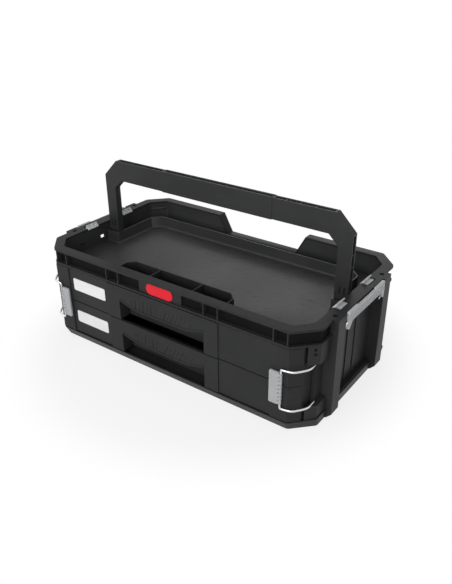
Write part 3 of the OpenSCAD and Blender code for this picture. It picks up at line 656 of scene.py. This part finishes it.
# ----------------------------------------------------- stacking catches
# Light grey sprung catches sit in pockets of the flange, two on each side, and grip
# the module that is stacked on top.
latch_grey = moulded_plastic(
    "latch_grey", (0.37, 0.375, 0.385), (0.43, 0.435, 0.445), (0.34, 0.46), depth=0.1 * mm
)
# the catches' copy of the latch grey plastic is lighter: painted light on their lit upper faces
catch_grey = moulded_plastic(
    "catch_grey", (0.62, 0.625, 0.635), (0.70, 0.705, 0.715), (0.34, 0.46),
    depth=0.1 * mm, rubbed=0.3,
)


def welded(piece):
    """Merges the corners and faces that a bevel has left without size."""
    shape = bmesh.new()
    shape.from_mesh(piece.data)
    bmesh.ops.remove_doubles(shape, verts=shape.verts, dist=weld_gap)
    bmesh.ops.dissolve_degenerate(shape, edges=shape.edges, dist=weld_gap)
    shape.to_mesh(piece.data)
    shape.free()
    if "custom_normal" in piece.data.attributes:
        piece.data.attributes.remove(piece.data.attributes["custom_normal"])
    piece.data.set_sharp_from_angle(angle=math.radians(32))
    return piece


for row in ("front", "rear"):
    for side in ("left", "right"):
        welded(moulded(f"stack_catch_{row}_{side}", catch_grey, "latch_grey", 0.5 * mm))

# ---------------------------------------------------------------- badge
# A bare red pill of glossy plastic is pressed into the band over the drawers.
badge_red = moulded_plastic(
    "badge_red", (0.66, 0.010, 0.022), (0.76, 0.014, 0.030), (0.24, 0.34),
    grain=500.0, depth=0.02 * mm, coat=0.1,
)


def round_edges(shape, edges, radius, segments):
    """Bevels some edges of a bmesh to a round."""
    bmesh.ops.bevel(
        shape, geom=edges, offset=radius, segments=segments, profile=0.5, affect="EDGES",
        clamp_overlap=True,
    )


def plate(name, outline, near, far, radius, segments=3):
    """A plate whose outline in X and Z reaches from y near to y far, with rounded edges."""
    shape = bmesh.new()
    front = shape.faces.new([shape.verts.new((x, near, z)) for x, z in outline])
    grown = bmesh.ops.extrude_face_region(shape, geom=[front])
    for vert in (v for v in grown["geom"] if isinstance(v, bmesh.types.BMVert)):
        vert.co.y = far
    bmesh.ops.recalc_face_normals(shape, faces=shape.faces)
    flat = [e for e in shape.edges if abs(e.verts[0].co.y - e.verts[1].co.y) < 1e-7]
    round_edges(shape, flat, radius, segments)
    return smoothed(mesh_object(name, shape))


def round_corners(corners, radius, steps=6):
    """A closed outline, each corner replaced by a curve that starts radius away from it."""
    corners = [Vector(c) for c in corners]
    outline = []
    for i, b in enumerate(corners):
        a, c = corners[i - 1], corners[(i + 1) % len(corners)]
        start, end = b + (a - b).normalized() * radius, b + (c - b).normalized() * radius
        for k in range(steps + 1):
            t = k / steps
            outline.append(tuple(start * (1 - t) ** 2 + b * (2 * t * (1 - t)) + end * t ** 2))
    return outline


low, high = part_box("badge")
end_r, middle_z = (high.z - low.z) / 2, (high.z + low.z) / 2
half_turn = [math.radians(-90 + 10 * i) for i in range(19)]
badge = plate("badge_pill", [
    (side * (high.x - end_r + end_r * math.cos(t)), middle_z + side * end_r * math.sin(t))
    for side in (1, -1) for t in half_turn
], low.y, high.y, 0.9 * mm, 4)
finish_piece(welded(badge), badge_red, "badge_red", "badge")

# ----------------------------------------------------------- pivot pins
# Each end of the handle turns on a plated steel pin that passes through the tray
# wall and the handle's leg.
for side in ("left", "right"):
    moulded("pivot_pin_" + side, screw_steel, "screw_steel", 0.4 * mm)

# --------------------------------------------------------------- handle
# Two black mouldings form the legs and the ends of the bar, each with a ribbed
# channel on its outer face. A thicker sleeve in the middle joins them.
handle_black = moulded_plastic(
    "handle_black", (0.0270, 0.0273, 0.0282), (0.0370, 0.0374, 0.0384), (0.38, 0.5), rubbed=0.9
)
for side in ("left", "right"):
    moulded("handle_arm_" + side, handle_black, "case_black", 0.7 * mm, 3)
moulded("handle_sleeve", handle_black, "case_black", 1.2 * mm, 3)

# -------------------------------------------------------------- drawers
# Two drawers with open black tubs run the whole depth of the case. Each charcoal
# front has a grip recess under a hood, and a sunk field for a label on either side.
label_white = moulded_plastic(
    "label_white", (0.78, 0.78, 0.775), (0.84, 0.84, 0.835), (0.42, 0.5),
    grain=1600.0, depth=0.02 * mm, rubbed=0.1,
)


def rounded_box(name, low, high, radius, segments=4):
    """A box between two corners with all its edges rounded."""
    low, high = Vector(low), Vector(high)
    shape = bmesh.new()
    bmesh.ops.create_cube(shape, size=1)
    size = high - low
    for vert in shape.verts:
        vert.co = Vector((vert.co[i] * size[i] + (low[i] + high[i]) / 2 for i in range(3)))
    round_edges(shape, shape.edges[:], radius, segments)
    return smoothed(mesh_object(name, shape))


rib_half, rib_back, rib_l, rib_round = 0.6 * mm, 0.45 * mm, 15 * mm, 0.4 * mm
rib_in, rib_up = 0.9 * mm, 32 * mm  # from the front's face and from its lower edge
for level in ("upper", "lower"):
    moulded(f"drawer_{level}_tub", case_black, "case_black", 0.6 * mm)
    moulded(f"drawer_{level}_front", case_charcoal, "case_charcoal", 0.5 * mm)
    moulded(f"drawer_{level}_label", label_white, "label_white", 0.25 * mm)

    # thin raised grip ribs under the hood, upright on the left and leaning on the right
    low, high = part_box(f"drawer_{level}_front")
    for lean, rib_x in ((0, (-60, -43.5, -26.5, -10)), (28, (14, 30, 46, 60))):
        rib = rounded_box(
            "rib", (-rib_half, -rib_back, 0), (rib_half, rib_half, rib_l), rib_round, 3
        )
        rib.data.transform(Matrix.Rotation(math.radians(lean), 4, "Y"))
        rib_places = [(x * mm, low.y + rib_in, low.z + rib_up) for x in rib_x]
        ribs = copies_of(rib, rib_places, case_charcoal, f"grip_ribs_{level}_{lean}")
        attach(ribs, "drawer_" + level)

# ------------------------------------------------------- corner latches
# A bent wire of plated steel turns on two pins in the side frame, and a light grey
# pad with a combed edge turns on the wire. The pad presses against the corner post.
wire_nickel = metal("wire_nickel", (0.66, 0.65, 0.63), (0.16, 0.34), 420.0)


def bent_rod(name, corners, radius, bend, pin_radius, sides=16, steps=6):
    """A round rod through the corners, each rounded over up to the length bend. Its two
    ends are straight pins of their own radius, with domed tips."""
    corners = [Vector(c) for c in corners]
    pin_share, bend_share = 0.15, 0.45
    path = [corners[0], corners[0].lerp(corners[1], 0.8)]
    for i, (a, b, c) in enumerate(zip(corners, corners[1:], corners[2:])):
        before = min(bend, (pin_share if i == 0 else bend_share) * (a - b).length)
        after = min(bend, (pin_share if i == len(corners) - 3 else bend_share) * (c - b).length)
        start, end = b + (a - b).normalized() * before, b + (c - b).normalized() * after
        for step in range(steps + 1):
            t = step / steps
            path.append(start * (1 - t) ** 2 + b * (2 * t * (1 - t)) + end * t ** 2)
    path += [corners[-1].lerp(corners[-2], 0.8), corners[-1]]
    shape = bmesh.new()
    across = (path[1] - path[0]).orthogonal().normalized()
    rings = []

    def ring(middle, along, size):
        side = along.cross(across).normalized()
        rings.append([
            shape.verts.new(middle + (across * math.cos(t) + side * math.sin(t)) * size)
            for t in (math.tau * j / sides for j in range(sides))
        ])

    tip, dome = pin_radius * 0.72, pin_radius * 0.25
    ring(path[0], (path[1] - path[0]).normalized(), tip)
    path[0] += (path[1] - path[0]).normalized() * dome
    path[-1] += (path[-2] - path[-1]).normalized() * dome
    for i, point in enumerate(path):
        along = (path[min(i + 1, len(path) - 1)] - path[max(i - 1, 0)]).normalized()
        across = (across - along * across.dot(along)).normalized()
        ring(point, along, radius if 2 <= i < len(path) - 2 else pin_radius)
    ring(path[-1] + along * dome, along, tip)
    for low, high in zip(rings, rings[1:]):
        for i in range(sides):
            j = (i + 1) % sides
            shape.faces.new((low[i], low[j], high[j], high[i]))
    shape.faces.new(list(reversed(rings[0])))
    shape.faces.new(rings[-1])
    bmesh.ops.recalc_face_normals(shape, faces=shape.faces)
    return smoothed(mesh_object(name, shape))


def mirrored(piece, name):
    """The same piece for the left side."""
    twin = bpy.data.objects.new(name, piece.data.copy())
    scene.collection.objects.link(twin)
    twin.data.transform(Matrix.Scale(-1, 4, (1, 0, 0)))
    twin.data.flip_normals()
    return twin


def pair(piece, material, slot, stem):
    """Finishes a right-hand piece and its mirrored twin."""
    finish_piece(mirrored(piece, piece.name + "_left"), material, slot, stem + "_left")
    finish_piece(piece, material, slot, stem + "_right")


low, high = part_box("corner_wire_right")
wire_r, pin_r = 1.9 * mm, 1.6 * mm
arm_top, arm_low = 112.5 * mm, 43.5 * mm
plan = [(230.7, -160), (234.7, -160.5), (249.4, -157.5), (260, -144), (265, -135), (264, -116)]
arm = [(x * mm, y * mm) for x, y in plan]
pin = arm[-1]
upper_arm = [(*p, arm_top) for p in reversed(arm)]
lower_arm = [(*p, arm_low) for p in arm]
wire = bent_rod(
    "corner_bail", [(*pin, high.z)] + upper_arm + lower_arm + [(*pin, low.z)],
    wire_r, 6 * mm, pin_r,
)
pair(wire, wire_nickel, "wire_nickel", "corner_wire")

low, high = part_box("corner_pad_right")
hinge = (arm[0][0], arm[0][1])
knuckles, knuckle_gap, end_l = 8, 1.6 * mm, 0.6 * mm
pitch = (high.z - low.z - 2 * end_l) / knuckles
knuckle_r = high.x - hinge[0]
leaf_end = hinge[0] - 3.2 * mm
leaf_corners = [(low.x, low.z), (leaf_end, low.z), (leaf_end, high.z), (low.x, high.z)]
leaf_y = low.y + 0.6 * mm           # the leaf's outer face
leaf = plate(
    "leaf", round_corners(leaf_corners, 2.6 * mm), high.y - 0.3 * mm, leaf_y, 1.1 * mm
)
# each knuckle is a short barrel with a finger that joins it to the leaf
barrel_l = pitch - knuckle_gap
barrel_edge = [(0, 0), (0.84, 0), (0.96, 0.25 * mm), (1, 0.6 * mm)]
barrel = turned("barrel", [(knuckle_r * r, h) for r, h in barrel_edge] + [
    (knuckle_r * r, barrel_l - h) for r, h in reversed(barrel_edge)
], sides=24)
finger = rounded_box(
    "finger", (leaf_end - 2 * mm - hinge[0], -knuckle_r * 0.92, 0),
    (0, knuckle_r * 0.6, barrel_l), 0.5 * mm, 2,
)
knuckle = joined("knuckle", [barrel, finger])
heights = [low.z + end_l + knuckle_gap / 2 + i * pitch for i in range(knuckles)]
comb = copies_of(knuckle, [(*hinge, z) for z in heights], latch_grey, "comb")
# two rows of small raised grip dots
dot_r, dot_h, dot_sunk = 0.9 * mm, 0.45 * mm, 0.3 * mm
dome = [math.radians(15 * i) for i in range(7)]
dot = turned("dot", [(0, -dot_sunk), (dot_r, -dot_sunk)] + [
    (dot_r * math.cos(t), dot_h * math.sin(t)) for t in dome
], sides=16)
dot.data.transform(Matrix.Rotation(math.radians(90), 4, "X"))
dot_x = (low.x + 4.6 * mm, low.x + 10.8 * mm)
dot_places = [(x, leaf_y, z + barrel_l / 2) for x in dot_x for z in heights[1:-1]]
dots = copies_of(dot, dot_places, latch_grey, "grip_dots")
pad = joined("corner_clip", [leaf, comb, dots])
pair(pad, latch_grey, "latch_grey", "corner_pad")

# --------------------------------------------------------- side latches
# A plated wire along each side turns on pins in the two pillars. The ribbed light
# grey pad that turns on it clips over the edge of the module above.
low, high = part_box("side_wire_right")
pin_x, pin_z, hinge_x, hinge_z = 276 * mm, 140 * mm, 282.5 * mm, 161 * mm
arm_y = 65.5 * mm
rod = bent_rod(
    "side_bail",
    [(pin_x, high.y, pin_z), (pin_x, arm_y, pin_z), (hinge_x, arm_y, hinge_z),
     (hinge_x, -arm_y, hinge_z), (pin_x, -arm_y, pin_z), (pin_x, low.y, pin_z)],
    pin_r, 2 * mm, pin_r,
)
pair(rod, wire_nickel, "wire_nickel", "side_wire")
# the side pads' copy of the latch grey plastic is lighter: painted light on pads that face up and
# out
pad_grey = moulded_plastic(
    "pad_grey", (0.54, 0.545, 0.555), (0.63, 0.635, 0.645), (0.34, 0.46), depth=0.1 * mm
)
for side in ("left", "right"):
    moulded("side_pad_" + side, pad_grey, "latch_grey", 0.5 * mm, 3)
